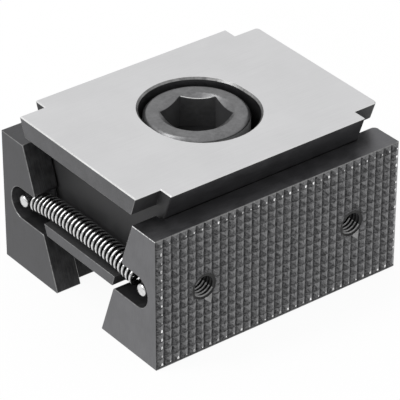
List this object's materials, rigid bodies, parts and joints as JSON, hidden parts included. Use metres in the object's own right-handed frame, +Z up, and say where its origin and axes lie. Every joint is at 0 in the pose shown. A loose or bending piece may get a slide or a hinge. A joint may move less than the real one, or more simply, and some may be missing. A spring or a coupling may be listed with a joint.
{
  "type": "wedge clamp",
  "caption": "Wedge clamp: a cap screw draws a ground wedge down between two serrated jaws and pushes them apart; springs across the ends pull them back.",
  "frame": {"origin": "middle of the footprint, on the plane that the jaws slide on, midway between the two jaws", "axes": "+X along the jaws, +Y the clamping direction towards the rear jaw, +Z up, out of the screw's socket"},
  "size_m": [0.067, 0.059, 0.0398],
  "materials": {
    "jaw_steel": "black oxide over milled steel",
    "wedge_steel": "ground top, black oxide flanks",
    "screw_steel": "black oxide",
    "spring_wire": "bright drawn wire",
    "pin_steel": "ground"
  },
  "bodies": {
    "front_jaw": {"front_jaw": "jaw_steel", "front_left_spring_pin": "pin_steel", "front_right_spring_pin": "pin_steel", "left_spring": "spring_wire", "right_spring": "spring_wire"},
    "rear_jaw": {"rear_jaw": "jaw_steel", "rear_left_spring_pin": "pin_steel", "rear_right_spring_pin": "pin_steel"},
    "wedge": {"wedge": "wedge_steel"},
    "clamping_screw": {"clamping_screw": "screw_steel"}
  },
  "joints": [
    {"name": "wedge_slide", "type": "slide", "parent": "front_jaw", "child": "wedge", "axis": [0, 0.342, -0.9397], "range_m": [0, 0.01277], "stiffness_N_per_m": 1965, "springref_m": -0.02134},
    {"name": "screw_turn", "type": "hinge", "parent": "wedge", "child": "clamping_screw", "pos_m": [0, 0.0011, 0.0227], "axis": [0, 0, 1], "range_deg": [-2160, 0]},
    {"name": "rear_jaw_slide", "type": "slide", "parent": "front_jaw", "child": "rear_jaw", "axis": [0, 1, 0], "range_m": [0, 0.00875], "deforming": ["left_spring", "right_spring"]}
  ],
  "couplings": [
    {"joint": "screw_turn", "follows": "wedge_slide", "rad_per_m": -2952.1},
    {"joint": "rear_jaw_slide", "follows": "wedge_slide", "ratio": 0.68404}
  ]
}
